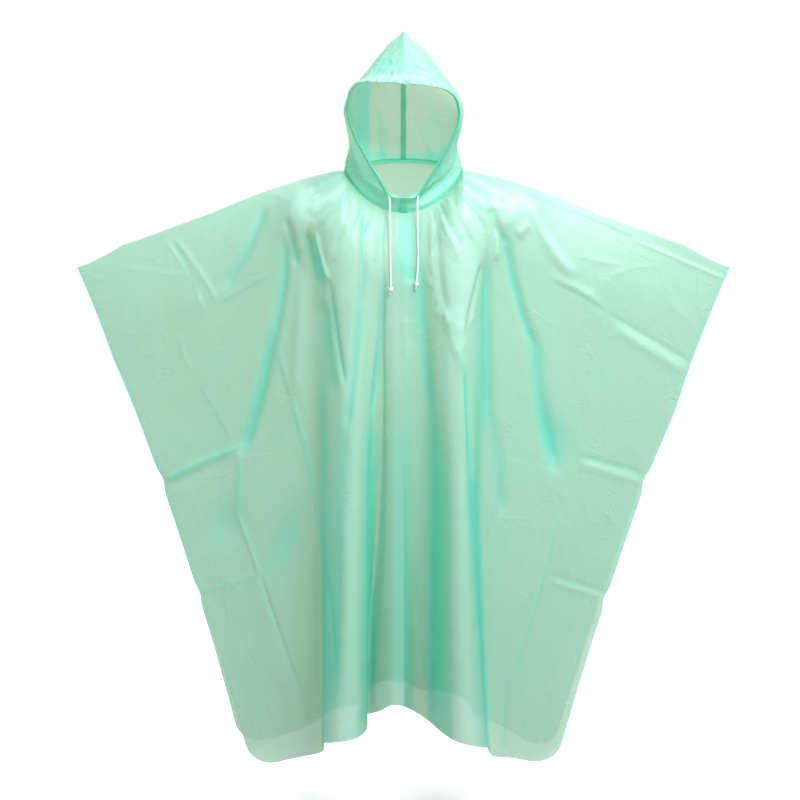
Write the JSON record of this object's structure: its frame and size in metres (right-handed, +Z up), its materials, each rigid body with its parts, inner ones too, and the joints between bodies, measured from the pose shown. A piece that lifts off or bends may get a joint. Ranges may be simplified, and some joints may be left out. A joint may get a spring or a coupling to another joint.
{
  "type": "hooded rain poncho",
  "caption": "Hooded slip-on rain poncho of thin translucent film, worn and hanging open in soft folds, with a drawstring at the face opening",
  "frame": {"origin": "middle of the neck hole, level with the inner ends of the two shoulder lines, where the wearer's neck and shoulders carry the poncho", "axes": "+Z up, the front faces -Y, the wearer's left wing points to +X"},
  "size_m": [1.2224, 0.3613, 1.3687],
  "materials": {
    "film": "soft, slightly glossy translucent film",
    "weld": "two layers of film welded together",
    "cord": "white braided cord"
  },
  "bodies": {
    "root": {"body_front": "film", "body_back": "film", "hood_left": "film", "hood_right": "film", "hood_centre_seam": "weld", "chin_seam": "weld", "neck_seam": "weld", "face_casing": "weld", "drawstring_left": "cord", "drawstring_right": "cord", "knot_left": "cord", "knot_right": "cord"}
  },
  "joints": []
}
